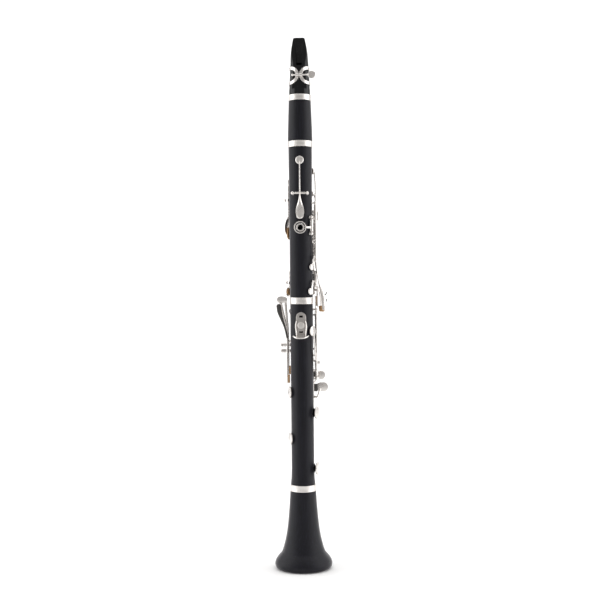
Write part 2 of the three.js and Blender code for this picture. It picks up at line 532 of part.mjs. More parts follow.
// The ligature grips the mouthpiece with two straps that curve together at the player's side.
function makeLigature() {
  const band = lathe([[13.4, 602.5], [14.1, 602.5], [13.1, 627], [12.2, 627]]);
  const oval = (x, z, rx, rz) => {
    const shape = new THREE.Shape().absellipse(x, z, rx, rz, 0, Math.PI * 2);
    const geometry = new THREE.ExtrudeGeometry(shape, { depth: 20, bevelEnabled: false, curveSegments: 5 });
    const side = new THREE.Matrix4().makeBasis(
      new THREE.Vector3(1, 0, 0), new THREE.Vector3(0, 0, 1), new THREE.Vector3(0, -1, 0));
    return solid(geometry.applyMatrix4(side));
  };
  let straps = band;
  for (const side of [-1, 1]) straps = straps.subtract(oval(side * 13, 615, 9.4, 6.6));
  straps = straps.subtract(oval(0, 633, 9.2, 12.6)).subtract(oval(0, 598.5, 9.2, 12));
  const screwLine = (x0, x1, r) =>
    stick(new THREE.Vector3(x0, -15.4, 616), new THREE.Vector3(x1, -15.4, 616), r, 10);
  straps = straps.add(screwLine(-3.4, 6.6, 2.3)).subtract(screwLine(-5, 9, 1.2));
  node("ligature_band", straps, SILVER);
  const paddle = turned([[0, 14.7], [4.5, 14.7], [4.5, 16.1], [0, 16.1]], 0, 616, 16).translate([15.9, 0, 0]);
  const screw = screwLine(-8, 13, ROD_R).add(paddle).add(ball(new THREE.Vector3(-8, -15.4, 616), 1.5));
  node("ligature_screw", screw, SILVER);
}

makeBell();
makeLowerJoint();
makeUpperJoint();
makeBarrel();
makeMouthpiece();
makeLigature();
makeThumbRest();
makeUpperKeys();
makeSideKeys();
makeLowerKeys();
makeLevers();
makePosts();

export default clarinet;
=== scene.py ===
"""A B flat clarinet on its bell, seen from the player's side: fine meshes and finishes round the frame."""
import json
import math

import bmesh
import bpy
from mathutils import Matrix, Vector


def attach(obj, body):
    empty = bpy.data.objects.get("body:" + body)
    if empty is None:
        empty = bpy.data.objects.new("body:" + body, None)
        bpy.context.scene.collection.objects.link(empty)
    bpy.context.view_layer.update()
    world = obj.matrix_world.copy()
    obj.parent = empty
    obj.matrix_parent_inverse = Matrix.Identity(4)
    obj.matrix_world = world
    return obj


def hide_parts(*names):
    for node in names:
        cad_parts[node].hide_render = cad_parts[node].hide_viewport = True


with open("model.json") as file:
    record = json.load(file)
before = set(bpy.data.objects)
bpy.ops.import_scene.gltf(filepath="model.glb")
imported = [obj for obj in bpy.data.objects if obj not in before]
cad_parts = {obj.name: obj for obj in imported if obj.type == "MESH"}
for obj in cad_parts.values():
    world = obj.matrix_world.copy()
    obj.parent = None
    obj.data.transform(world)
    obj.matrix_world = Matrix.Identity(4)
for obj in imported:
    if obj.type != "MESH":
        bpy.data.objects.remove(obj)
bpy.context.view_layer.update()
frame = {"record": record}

MM = 0.001
UP = Vector((0, 0, 1))
SHARP = math.radians(38)

# Main sizes in millimetres, as in the frame
LOWER_R = 14.3
UPPER_R = 14.4
THROAT_R = 14.5
BORE = 7.4
TUBE_R = 1.9
TUBE_BORE = 1.15
CROSS_TUBE_R = 1.35
ROD_R = 0.9
BALL_R = 2.05
PAD_PLANE = 14.9
OPEN_PLANE = 17.9
RAISED_PLANE = 15.9
HOLE_R = 3.6
CHIMNEY_R = 4.7
CHIMNEY_TOP = 15.7
SEAT_TOP = 14.75
UNDER_SKIN = 11.5
RING_LIP = 0.35
LIGATURE_Z = 616
LIGATURE_SCREW_OUT = 15.4
ARM_PLANE = 18.4
ARM_STRAIGHT_FOOT = 386
ARM_ROLL = 54
TOUCH_CORK_ROLL = 60
LEVER_NEAR = 1.4
LEVER_FAR = -7.4
REST_SCREWS = (315.4, 296.4)
REST_CLAMP_Z = 304.3
REST_CLAMP_PLANE = 17.9
REST_EAR_PLANE = 16.4
REST_BRIDGE_PLANE = 16.9
FINGER = {"l1": 436, "l2": 404, "l3": 373, "r1": 301, "r2": 274, "r3": 247}
THUMB_Z = 426.3
RODS = {
    "thumb": (53, 17.5),
    "left": (122, 18),
    "side": (78, 18.9),
    "side_low": (100, 17.6),
    "right": (105, 18.7),
    "sliver": (82, 18.1),
    "fc": (138, 18.5),
    "eb": (158, 18.5),
    "fsharp": (210, 18.5),
    "ab": (180, 19.6),
}
HINGES = {
    "register": (0, 19.4, 468.7),
    "throat_a": (180, 19, 470),
    "throat_g": (-122, 19, 462),
    "sliver_e": (-155, 18.6, 382),
    "c_sharp": (-125, 18.8, 358),
    "lever_eb": (-97, 24.6, 279.7),
    "lever_f": (-97, 24.6, 272.1),
    "lever_fc": (-143, 19, 284),
}


def at(theta, radius, z):
    """A point from its angle about the bore (from -Y towards +X, in degrees), radius and height."""
    a = math.radians(theta)
    return Vector((radius * math.sin(a), -radius * math.cos(a), z))


def frame_at(theta):
    """Across the body, and out of it, at an angle."""
    a = math.radians(theta)
    return Vector((math.cos(a), math.sin(a), 0)), at(theta, 1, 0)


# ---- mesh building

class Form:
    """Closed shells gathered into one mesh, in millimetres."""

    def __init__(self):
        self.verts = []
        self.faces = []

    def loft(self, rings, caps=True, loop=False):
        """Joins rings of points with quads, and closes the two ends or joins the last ring to the first."""
        start = len(self.verts)
        count = len(rings[0])
        for ring in rings:
            self.verts += ring
        total = len(rings)
        for i in range(total if loop else total - 1):
            a = start + i * count
            b = start + ((i + 1) % total) * count
            for k in range(count):
                n = (k + 1) % count
                self.faces.append((a + k, a + n, b + n, b + k))
        if caps and not loop:
            self.faces.append(tuple(range(start, start + count)))
            last = start + (total - 1) * count
            self.faces.append(tuple(range(last, last + count)))
        return self

    def build(self, name):
        mesh = bpy.data.meshes.new(name)
        mesh.from_pydata([v * MM for v in self.verts], [], self.faces)
        made = bmesh.new()
        made.from_mesh(mesh)
        bmesh.ops.remove_doubles(made, verts=made.verts, dist=1e-7)
        bmesh.ops.recalc_face_normals(made, faces=made.faces)
        made.to_mesh(mesh)
        made.free()
        mesh.shade_smooth()
        mesh.set_sharp_from_angle(angle=SHARP)
        piece = bpy.data.objects.new(name, mesh)
        bpy.context.scene.collection.objects.link(piece)
        return piece


def soften(points, radius=0.3, steps=3, closed=True):
    """Rounds the corners of an outline of [a, b] points."""
    rounded = []
    count = len(points)
    for i, point in enumerate(points):
        here = Vector(point)
        if not closed and i in (0, count - 1):
            rounded.append(here)
            continue
        before = Vector(points[i - 1]) - here
        after = Vector(points[(i + 1) % count]) - here
        reach = min(radius, before.length * 0.45, after.length * 0.45)
        turn = before.angle(after, math.pi) if before.length and after.length else math.pi
        if turn > math.radians(168):
            rounded.append(here)
            continue
        first = here + before.normalized() * reach
        second = here + after.normalized() * reach
        for k in range(steps + 1):
            t = k / steps
            rounded.append(first * (1 - t) ** 2 + here * (2 * t * (1 - t)) + second * t ** 2)
    return rounded


def lathe(form, profile, place=None, segments=96, radius=0.3, solid=False):
    """Turns a profile of [radius, height]. A solid one starts and ends on the axis."""
    points = soften(profile, radius, closed=not solid)
    place = place or Matrix()
    rings = []
    for r, h in points:
        ring = []
        for k in range(segments):
            a = 2 * math.pi * k / segments
            ring.append(place @ Vector((max(r, 0.02) * math.cos(a), max(r, 0.02) * math.sin(a), h)))
        rings.append(ring)
    return form.loft(rings, caps=solid, loop=not solid)


def outward_frame(theta, z, shift=0):
    """The frame of a turned piece that points out of the body."""
    across, outward = frame_at(theta)
    turn = Matrix((across, UP, outward)).transposed().to_4x4()
    return Matrix.Translation(UP * z + across * shift) @ turn


def turned(form, profile, theta, z, segments=48, radius=0.25, shift=0):
    solid = profile[0][0] == 0 and profile[-1][0] == 0
    return lathe(form, profile, outward_frame(theta, z, shift), segments, radius, solid)


def along_frame(start, end):
    direction = (end - start).normalized()
    return Matrix.Translation(start) @ direction.to_track_quat("Z", "Y").to_matrix().to_4x4()


def stick(form, start, end, radius, segments=24, edge=0.2):
    length = (end - start).length
    profile = [(0, 0), (radius, 0), (radius, length), (0, length)]
    return lathe(form, profile, along_frame(start, end), segments, edge, True)


def tube(form, start, end, outer=TUBE_R, inner=TUBE_BORE):
    length = (end - start).length
    profile = [(inner, 0), (outer, 0), (outer, length), (inner, length)]
    return lathe(form, profile, along_frame(start, end), 28, 0.22)


def ball(form, centre, radius):
    steps = 14
    profile = []
    for k in range(steps + 1):
        a = -math.pi / 2 + math.pi * k / steps
        profile.append((radius * math.cos(a), radius * math.sin(a)))
    return lathe(form, profile, Matrix.Translation(centre), 28, 0, True)


def section(width, thickness, corner=0.45):
    """A rounded bar's cross-section: across, outward."""
    w, t = width / 2, thickness / 2
    return soften([(-w, -t), (w, -t), (w, t), (-w, t)], corner)


def smooth_path(points, per=10):
    """A Catmull-Rom curve through the points."""
    ends = [points[0] * 2 - points[1]] + list(points) + [points[-1] * 2 - points[-2]]
    path = []
    for i in range(1, len(ends) - 2):
        p0, p1, p2, p3 = ends[i - 1:i + 3]
        for k in range(per):
            t = k / per
            a = p1 * 2 + (p2 - p0) * t
            b = (p0 * 2 - p1 * 5 + p2 * 4 - p3) * t * t
            c = (p1 * 3 - p0 - p2 * 3 + p3) * t ** 3
            path.append((a + b + c) / 2)
    return path + [points[-1]]


def sweep(form, path, outline, widths=None, rolls=None):
    """Sweeps a section along a path, with its thin side turned out of the body, or rolled from there."""
    rings = []
    for i, place in enumerate(path):
        before, after = path[max(i - 1, 0)], path[min(i + 1, len(path) - 1)]
        along = (after - before).normalized()
        outward = Vector((place.x, place.y, 0)).normalized()
        across = along.cross(outward)
        if across.length < 0.1:
            across = along.cross(UP)
        across.normalize()
        normal = across.cross(along).normalized()
        if rolls:
            turn = Matrix.Rotation(math.radians(rolls[i]), 3, along)
            across, normal = turn @ across, turn @ normal
        scale = widths[i] if widths else 1
        rings.append([place + across * (a * scale) + normal * b for a, b in outline])
    return form.loft(rings)


def paddle(form, stations, thickness=1.5):
    """A twisted arm through [angle, radius, height, width, roll] stations, with a round end."""
    spots = smooth_path([Vector((*at(*station[:3]), station[3], station[4])) for station in stations])
    path = [Vector(spot[:3]) for spot in spots]
    widths = [spot[3] for spot in spots]
    rolls = [spot[4] for spot in spots]
    along = (path[-1] - path[-2]).normalized()
    tip, broad = path[-1], widths[-1]
    for k in range(1, 7):
        a = math.pi / 2 * k / 6.4
        path.append(tip + along * (broad / 2 * math.sin(a)))
        widths.append(broad * math.cos(a))
        rolls.append(rolls[-1])
    return sweep(form, path, section(1, thickness, 0.4), widths, rolls=rolls)


def bar(form, points, width=2.2):
    """A key's arm through points of [angle, radius, height]."""
    path = smooth_path([at(*p) for p in points])
    return sweep(form, path, section(width, 1.5))


def strap(form, start, end, radius, z0, z1, thickness=1.4):
    """An arm bent round the body."""
    steps = max(6, int(abs(end - start) / 4))
    middle = (z0 + z1) / 2
    path = [at(start + (end - start) * i / steps, radius + thickness / 2, middle) for i in range(steps + 1)]
    return sweep(form, path, section(z1 - z0, thickness))


def drop_outline(a, b, inset):
    """The outline round two circles on a line: (across, height, radius) each."""
    direction = math.atan2(b[1] - a[1], b[0] - a[0])
    length = math.hypot(b[0] - a[0], b[1] - a[1])
    steps = 14
    lean = math.asin(max(-0.99, min(0.99, (a[2] - b[2]) / length))) if length > 1e-6 else 0
    points = []
    for centre, start, sweep_angle in (
        (a, direction + math.pi / 2 - lean, math.pi + 2 * lean),
        (b, direction - math.pi / 2 + lean, math.pi - 2 * lean),
    ):
        r = max(centre[2] - inset, 0.05)
        for i in range(steps + 1):
            angle = start + sweep_angle * i / steps
            points.append((centre[0] + r * math.cos(angle), centre[1] + r * math.sin(angle)))
    return points


def plate(form, theta, radius, thickness, a, b, crown=0.25):
    """A touch or arm: a plate with soft edges and a slightly domed face, tangent to the body at theta."""
    across, outward = frame_at(theta)
    small = min(a[2], b[2])
    layers = [(0.4, 0), (0.12, 0.1), (0, 0.35), (0, thickness - 0.5), (0.14, thickness - 0.18),
              (0.45, thickness), (small * 0.55, thickness + crown * 0.7), (small * 0.9, thickness + crown)]
    rings = [[across * t + outward * (radius + height) + UP * z for t, z in drop_outline(a, b, inset)]
             for inset, height in layers]
    return form.loft(rings)


def blade(form, theta, stations, thickness=1.6, crown=0.3):
    """A long arm or touch with round ends, through [across, height, half width, radius] stations."""
    points = [Vector(station) for station in stations]
    path = smooth_path(points, 8)
    ends = []
    for tip, inner in ((path[0], path[1]), (path[-1], path[-2])):
        along = Vector((tip.x - inner.x, tip.y - inner.y)).normalized()
        cap = []
        for k in range(1, 8):
            a = math.pi / 2 * k / 7.3
            reach = tip.z * math.sin(a)
            cap.append(Vector((tip.x + along.x * reach, tip.y + along.y * reach, tip.z * math.cos(a), tip.w)))
        ends.append(cap)
    path = ends[0][::-1] + path + ends[1]
    across, outward = frame_at(theta)
    rings = []
    for i, spot in enumerate(path):
        before, after = path[max(i - 1, 0)], path[min(i + 1, len(path) - 1)]
        along = Vector((after.x - before.x, after.y - before.y)).normalized()
        w = spot.z
        edge = min(0.4, w * 0.5)
        right = [(w - edge, 0), (w - edge * 0.2, 0.15), (w, 0.45), (w, thickness - 0.5),
                 (w - edge * 0.3, thickness - 0.12), (w * 0.6, thickness + crown * 0.6),
                 (w * 0.2, thickness + crown)]
        outline = right + [(-t, out) for t, out in reversed(right)]
        rings.append([across * (spot.x + along.y * t) + outward * (spot.w + out) + UP * (spot.y - along.x * t)
                      for t, out in outline])
    return form.loft(rings)


def box_outline(t0, t1, z0, z1):
    return [(t0, z0), (t1, z0), (t1, z1), (t0, z1)]


def block(form, theta, across_span, out_span, z_span, edge=0.35):
    """A soft-edged box, with each span as [low, high] across, out of the body and up."""
    across, outward = frame_at(theta)
    t0, t1 = across_span
    z0, z1 = z_span
    r0, r1 = out_span
    outline = soften(box_outline(t0, t1, z0, z1), edge)
    tight = soften(box_outline(t0 + edge, t1 - edge, z0 + edge, z1 - edge), 0.05)
    rings = []
    for shape, out in ((tight, r0), (outline, r0 + edge * 0.8), (outline, r1 - edge * 0.8), (tight, r1)):
        rings.append([across * t + outward * out + UP * z for t, z in shape])
    return form.loft(rings)


# ---- materials

class Look:
    """A finish built up on one Principled shader."""

    def __init__(self, name, colour, rough, metal=0.0, coat=0.0):
        self.made = bpy.data.materials.new(name)
        self.made.use_nodes = True
        self.tree = self.made.node_tree
        self.shader = self.tree.nodes["Principled BSDF"]
        self.put(self.shader, ("Base Color", (*colour, 1)), ("Roughness", rough), ("Metallic", metal),
                 ("Coat Weight", coat))

    def put(self, node, *sockets):
        for socket, value in sockets:
            node.inputs[socket].default_value = value

    def node(self, kind, *sockets):
        made = self.tree.nodes.new("ShaderNode" + kind)
        self.put(made, *sockets)
        return made

    def link(self, source, node, socket):
        self.tree.links.new(source, node.inputs[socket])

    def noise(self, scale, stretch=(1, 1, 1), detail=4.0, rough=0.55):
        """Noise in the piece's own space."""
        place = self.node("TexCoord")
        mapping = self.node("Mapping", ("Scale", stretch))
        made = self.node("TexNoise", ("Scale", scale), ("Detail", detail), ("Roughness", rough))
        self.link(place.outputs["Object"], mapping, "Vector")
        self.link(mapping.outputs["Vector"], made, "Vector")
        return made.outputs["Fac"]

    def tint(self, source, *stops):
        """Colours the shader by a noise, through [level, colour] stops."""
        made = self.node("ValToRGB")
        marks = made.color_ramp.elements
        for mark, (level, colour) in ((marks[0], stops[0]), (marks[1], stops[-1])):
            mark.position = level
            mark.color = (*colour, 1)
        for level, colour in stops[1:-1]:
            marks.new(level).color = (*colour, 1)
        self.link(source, made, "Fac")
        self.link(made.outputs["Color"], self.shader, "Base Color")

    def roughen(self, source, low, high):
        made = self.node("MapRange", ("To Min", low), ("To Max", high))
        self.link(source, made, "Value")
        self.link(made.outputs["Result"], self.shader, "Roughness")

    def bump(self, source, strength, distance=0.0002):
        made = self.node("Bump", ("Strength", strength), ("Distance", distance))
        self.link(source, made, "Height")
        self.link(made.outputs["Normal"], self.shader, "Normal")


def make_wood():
    """Black wood with fine pores drawn out along the bore."""
    look = Look("black_wood", (0.006, 0.0064, 0.009), 0.5)
    look.put(look.shader, ("Specular IOR Level", 0.25), ("Sheen Weight", 0.7), ("Sheen Roughness", 0.32),
             ("Sheen Tint", (1.0, 0.97, 1.0, 1)))
    grain = look.noise(900, (1, 1, 0.04), 5)
    cloud = look.noise(60, (1, 1, 0.25), 3)
    look.tint(grain, (0.3, (0.0022, 0.0022, 0.0042)), (0.55, (0.0042, 0.0042, 0.0085)),
              (0.75, (0.009, 0.009, 0.016)))
    look.roughen(cloud, 0.40, 0.60)
    look.bump(grain, 0.25)
    return look.made


def make_ebonite():
    """Polished hard rubber with a faint smear."""
    look = Look("polished_ebonite", (0.006, 0.006, 0.007), 0.12, coat=0.15)
    look.put(look.shader, ("Specular IOR Level", 0.22))
    smear = look.noise(140, (1, 1, 0.4), 3)
    look.tint(smear, (0.35, (0.0025, 0.0025, 0.003)), (0.7, (0.005, 0.005, 0.0055)))
    look.roughen(smear, 0.08, 0.22)
    return look.made


def make_metal(name, tone, rough):
    """Plated metal with faint clouding and fine polishing marks."""
    look = Look(name, tone, rough[0], metal=1.0)
    cloud = look.noise(120)
    scuff = look.noise(1800, (1, 1, 0.3), 3)
    dull, clean, bright = [tuple(min(1, c * k) for c in tone) for k in (0.90, 1.0, 1.06)]
    look.tint(cloud, (0.3, dull), (0.6, clean), (0.8, bright))
    look.roughen(cloud, *rough)
    look.bump(scuff, 0.04, 0.00005)
    return look.made


def make_cork():
    """Cork with dark flecks."""
    look = Look("cork", (0.42, 0.25, 0.12), 0.9)
    fleck = look.noise(1500, detail=6, rough=0.7)
    look.tint(fleck, (0.34, (0.13, 0.06, 0.025)), (0.46, (0.40, 0.23, 0.11)), (0.68, (0.58, 0.38, 0.20)))
    look.bump(fleck, 0.5, 0.0003)
    return look.made


def make_pad_skin():
    """Wrinkled dark leather."""
    look = Look("pad_skin", (0.10, 0.07, 0.05), 0.55)
    wrinkle = look.noise(500)
    look.tint(wrinkle, (0.3, (0.06, 0.04, 0.028)), (0.6, (0.10, 0.07, 0.05)), (0.8, (0.15, 0.11, 0.08)))
    look.bump(wrinkle, 0.3)
    return look.made


def make_slot_shadow():
    """Painted shadow: a dark sheet that stands for the shaded bottom of a screw's slot, mottled at random."""
    look = Look("slot_shadow", (0.01, 0.01, 0.01), 0.8)
    look.put(look.shader, ("Specular IOR Level", 0.1))
    painted_shadow_mottle = look.noise(2500, detail=3)
    look.tint(painted_shadow_mottle, (0.35, (0.004, 0.004, 0.004)), (0.7, (0.016, 0.014, 0.012)))
    return look.made


WOOD = make_wood()
EBONITE = make_ebonite()
SILVER_TONE = (0.84, 0.805, 0.775)
SILVER = make_metal("silver_plate", SILVER_TONE, (0.21, 0.34))
RING_SILVER = make_metal("satin_silver", SILVER_TONE, (0.32, 0.44))
NICKEL = make_metal("matte_nickel", (0.56, 0.53, 0.51), (0.30, 0.44))
# Painted shade: a dark copy of the nickel, used on silver parts only so that they read dark as if in shadow
# (hooks, heels and the E/B lever's touch)
PAINTED_SHADOW_METAL = make_metal("painted_shadow_nickel", (0.10, 0.095, 0.092), (0.34, 0.48))
SLOT_SHADOW = make_slot_shadow()
CORK = make_cork()
PAD = make_pad_skin()

BODY_OF = {node: body for body, nodes in frame["record"]["behaviour"]["bodies"].items() for node in nodes}


def place(form, name, look, body, *nodes):
    """Makes the piece, gives it its finish and body, and lets it stand for CAD nodes."""
    piece = form.build(name)
    piece.data.materials.append(look)
    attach(piece, body)
    if nodes:
        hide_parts(*nodes)
    return piece


def stand_for(form, node, look):
    return place(form, node + "_fine", look, BODY_OF[node], node)


def cut(piece, form, union=False):
    """Cuts a form out of a piece, or joins it on, with an exact boolean that is applied at once."""
    tool = form.build("cutter")
    change = piece.modifiers.new("cut", "BOOLEAN")
    change.operation = "UNION" if union else "DIFFERENCE"
    change.solver = "EXACT"
    change.object = tool
    bpy.context.view_layer.update()
    whole = bpy.data.meshes.new_from_object(piece.evaluated_get(bpy.context.evaluated_depsgraph_get()))
    piece.modifiers.remove(change)
    piece.data = whole
    whole.shade_smooth()
    whole.set_sharp_from_angle(angle=SHARP)
    bpy.data.objects.remove(tool)
    return piece


# ---- tube of the instrument

def make_bell():
    form = Form()
    outside = [(32, 0), (34.6, 1.2), (35.8, 4), (35.9, 7), (34.9, 10.2), (32.5, 14.1), (29.4, 17.6),
               (27.2, 20.3), (25, 26.6), (23, 34.2), (21.4, 41.7), (20.2, 49.3), (19.3, 56.8), (18.5, 64.4),
               (17.9, 71.9), (17.3, 79.4), (16.8, 87), (16.2, 96.3)]
    socket = [(14.7, 96.3), (14.7, 104.5), (12.9, 104.5), (12.9, 83)]
    bore = [(10.4, 83), (12.4, 60), (14, 47), (16, 36), (18.6, 24), (22, 14), (25.6, 6), (29.5, 0)]
    lathe(form, outside + socket + bore, segments=160, radius=0.9)
    stand_for(form, "bell", WOOD)
    make_ring("bell_ring", 15, 16.4, 96.6, 104.5)


def make_ring(node, inner, outer, z0, z1):
    """A metal ring with rolled edges and a shallow groove near each."""
    form = Form()
    groove = outer - RING_LIP
    profile = [(inner, z0), (outer - 0.15, z0), (outer, z0 + 0.5), (outer, z0 + 1.3), (groove, z0 + 1.55),
               (groove, z1 - 1.55), (outer, z1 - 1.3), (outer, z1 - 0.5), (outer - 0.15, z1), (inner, z1)]
    lathe(form, profile, segments=128, radius=0.35)
    stand_for(form, node, RING_SILVER)


def hole_cutter(holes):
    """Plugs for holes given as [angle, height, radius]."""
    form = Form()
    for theta, z, r in holes:
        stick(form, at(theta, 4, z), at(theta, 22, z), r, 32, 0)
    return form


def chimneys(levels):
    """The raised stand of each finger hole."""
    form = Form()
    for z in levels:
        profile = [(0, UNDER_SKIN), (CHIMNEY_R + 0.6, UNDER_SKIN), (CHIMNEY_R + 0.5, 14.2),
                   (CHIMNEY_R, 14.9), (CHIMNEY_R, CHIMNEY_TOP), (0, CHIMNEY_TOP)]
        turned(form, profile, 180, z, radius=0.3)
    return form


def seats(holes):
    """The low raised rim round each padded hole, which the pad closes on."""
    form = Form()
    for theta, z, r in holes:
        profile = [(0, UNDER_SKIN), (r + 1.0, UNDER_SKIN), (r + 0.9, 13.9), (r + 0.5, SEAT_TOP),
                   (0, SEAT_TOP)]
        turned(form, profile, theta, z, 40, 0.15)
    return form


LOWER_HOLES = [(60, 297, 2.6), (75, 194.5, 5.6), (77, 124.7, 5.6), (-70, 162.5, 5), (-75, 220.4, 5)]
UPPER_HOLES = [(180, 499, 2.6), (-122, 485, 2.6), (115, 498.4, 2.4), (125, 470, 2.4), (57, 377, 2.6),
               (49, 346.7, 2.8), (-155, 390, 2.4), (-125, 370, 2.6)]


def make_lower_joint():
    form = Form()
    floor = 104.8
    outside = [(11.8, 84.3), (11.8, floor), (15.3, floor), (15.2, 108), (14.8, 112), (14.5, 118),
               (LOWER_R, 126), (LOWER_R, 330.6), (13.6, 330.6), (13.6, 339)]
    inside = [(12.3, 339), (12.3, 318), (BORE, 318), (BORE, 190), (10.2, 84.3)]
    lathe(form, outside + inside, segments=128)
    body = stand_for(form, "lower_joint", WOOD)
    levels = [FINGER["r1"], FINGER["r2"], FINGER["r3"]]
    cut(body, chimneys(levels), union=True)
    cut(body, seats(LOWER_HOLES), union=True)
    cut(body, hole_cutter([(180, z, HOLE_R) for z in levels] + [(150, 317, 3)] + LOWER_HOLES))
    make_ring("lower_joint_ring", 13.9, 15.1, 330.9, 339)


def make_upper_joint():
    form = Form()
    outside = [(11.2, 318.8), (11.2, 339.3), (UPPER_R, 339.3), (UPPER_R, 470), (14.8, 515), (14.8, 527.2),
               (10.9, 527.2), (10.9, 543.5)]
    lathe(form, outside + [(BORE, 543.5), (BORE, 318.8)], segments=128)
    body = stand_for(form, "upper_joint", WOOD)
    levels = [FINGER["l1"], FINGER["l2"], FINGER["l3"]]
    cut(body, chimneys(levels), union=True)
    cut(body, seats(UPPER_HOLES), union=True)
    open_holes = [(0, THUMB_Z, 5.9), (0, 509.9, 2.5), (150, 421, 2.6), (150, 389, 2.8)]
    cut(body, hole_cutter([(180, z, HOLE_R) for z in levels] + open_holes + UPPER_HOLES))
    form = Form()
    turned(form, [(3.3, 8.2), (5.2, 8.2), (5.2, 15.6), (4.8, 16.1), (3.7, 16.1), (3.3, 15.6)], 0, THUMB_Z)
    stand_for(form, "thumb_tube", SILVER)
    form = Form()
    turned(form, [(1.2, 5.2), (2.2, 5.2), (2.2, 16.2), (1.2, 16.2)], 0, 509.9)
    stand_for(form, "register_tube", SILVER)


def make_barrel():
    form = Form()
    outside = [(14.1, 527.5), (14.1, 535.2), (15.45, 535.2), (15.5, 538), (15.35, 546), (15.05, 555),
               (14.75, 564), (14.45, 573), (14.15, 581), (14, 585.5), (12.8, 585.5), (12.8, 593)]
    inside = [(11.9, 593), (11.9, 576.5), (BORE, 576.5), (BORE, 544.5), (11.9, 544.5), (11.9, 527.5)]
    lathe(form, outside + inside, segments=128)
    stand_for(form, "barrel", WOOD)
    make_ring("barrel_lower_ring", 14.4, 15.9, 527.5, 534.9)
    make_ring("barrel_upper_ring", 13.1, 14.45, 585.8, 593)


def make_corks():
    for node, inner, outer, z0, z1 in (
        ("lower_joint_cork", 12.1, 12.6, 87.3, 103.8),
        ("upper_joint_bottom_cork", 11.5, 12, 321.8, 337.3),
        ("upper_joint_top_cork", 11.2, 11.7, 529.2, 541.5),
        ("mouthpiece_cork", 11.2, 11.7, 579, 591),
    ):
        form = Form()
        lathe(form, [(inner, z0), (outer, z0), (outer, z1), (inner, z1)])
        stand_for(form, node, CORK)


MOUTHPIECE = [(13.3, 593.3), (13.4, 596), (13.35, 599), (13.05, 602.6), (12.5, 612), (11.4, 632.8),
              (11.05, 640), (10.3, 648), (9.1, 655), (8.2, 659.4), (7.6, 662.2), (6.9, 663.3), (5.6, 663.85)]


def beak_ring(z, r):
    """The mouthpiece's outline at a height: round below, and flat sided towards the tip."""
    t = min(1, max(0, (z - 628) / 25))
    flat = t * t * (3 - 2 * t)
    power = 2 / (2 + 2.6 * flat)
    depth = r + (12.5 - r) * flat
    ring = []
    for k in range(128):
        a = 2 * math.pi * k / 128
        c, s = math.cos(a), math.sin(a)
        x, y = math.copysign(abs(c) ** power, c), math.copysign(abs(s) ** power, s)
        ring.append(Vector((r * x, depth * y, z)))
    return ring


def make_mouthpiece():
    form = Form()
    outline = smooth_path([Vector((r, z)) for r, z in MOUTHPIECE], 4)
    rings = [beak_ring(z, r) for r, z in [(10.5, 577), (10.9, 577.4), (10.9, 593.3)]]
    rings += [beak_ring(spot.y, spot.x) for spot in outline]
    piece = stand_for(form.loft(rings), "mouthpiece", EBONITE)
    hollow = Form()
    chamber = [(0, 570), (BORE, 570), (BORE, 618), (5.6, 626), (3.6, 631), (0, 632)]
    lathe(hollow, chamber, segments=64, radius=0, solid=True)
    cut(piece, hollow)
    table = Form()
    facing = [(-9.2, 600), (-9.2, 640), (-9.05, 650), (-8.75, 658), (-8.3, 664.5)]
    table.loft([[Vector((x, y, z)) for y, z in [(-30, 664.5), (-30, 600)] + facing] for x in (-20, 20)])
    cut(piece, table)
    beak = Form()
    slope = [(-7.6, 667), (-7.6, 663.4), (-3.6, 657.6), (1.6, 649.5), (6.6, 640.5), (11, 631.5), (15.6, 620)]
    beak.loft([[Vector((x, y, z)) for y, z in slope + [(30, 620), (30, 667)]] for x in (-20, 20)])
    cut(piece, beak)
    window = Form()
    rings = []
    for z, half, baffle in ((629.6, 3.4, 5.4), (631.6, 3.5, 3.0), (634, 3.6, -1.2), (641, 4.0, -2.4),
                            (648, 4.3, -4.2), (654, 4.6, -5.9), (659, 4.9, -7.3), (662, 5.1, -8.0)):
        rings.append([Vector((x, y, z)) for x, y in soften(box_outline(-half, half, -12, baffle), 0.6)])
    cut(piece, window.loft(rings))


def mouthpiece_radius(z):
    for (r0, z0), (r1, z1) in zip(MOUTHPIECE, MOUTHPIECE[1:]):
        if z0 <= z <= z1:
            return r0 + (r1 - r0) * (z - z0) / (z1 - z0)
    return MOUTHPIECE[0][0]


def make_ligature():
    """Two straps round the mouthpiece, each bowed in to the middle of the player's side, and their screw."""
    form = Form()
    middle, bow, apart, skin = 616.8, 9.3, 2.2, 0.75
    for side in (-1, 1):
        spots = []
        for k in range(25):
            a = math.pi / 2 * (1 - 2 * k / 24)
            z = middle + bow * math.sin(a)
            x = apart + bow * (1 - math.cos(a))
            spots.append((math.degrees(math.asin(x / (mouthpiece_radius(z) + skin))), z))
        last = spots[0][0]
        round_front = [last + (180 - last) * k / 30 for k in range(1, 31)]
        above = [(theta, middle + bow) for theta in reversed(round_front)]
        below = [(theta, middle - bow) for theta in round_front]
        path = [at(side * theta, mouthpiece_radius(z) + skin, z) for theta, z in above + spots + below]
        sweep(form, path, section(3.9, 0.9, 0.3))

    def on_screw(x):
        return Vector((x, -LIGATURE_SCREW_OUT, LIGATURE_Z))

    for x0, x1 in ((-4.4, -0.3), (0.3, 4.4)):
        tube(form, on_screw(x0), on_screw(x1), 2.1, 1.1)
    stand_for(form, "ligature_band", SILVER)
    screw = Form()
    stick(screw, on_screw(-8), on_screw(12.4), ROD_R)
    ball(screw, on_screw(-8), 1.5)
    coin = [(0, 14.75), (4.4, 14.75), (4.9, 15.1), (4.9, 15.7), (4.4, 16.05), (3.8, 15.9), (0, 15.9)]
    turned(screw, coin, 0, LIGATURE_Z, shift=15.9)
    ball(screw, on_screw(10.6), 1.35)
    stand_for(screw, "ligature_screw", SILVER)


make_bell()
make_lower_joint()
make_upper_joint()
make_barrel()
make_corks()
make_mouthpiece()
make_ligature()


# ---- keys

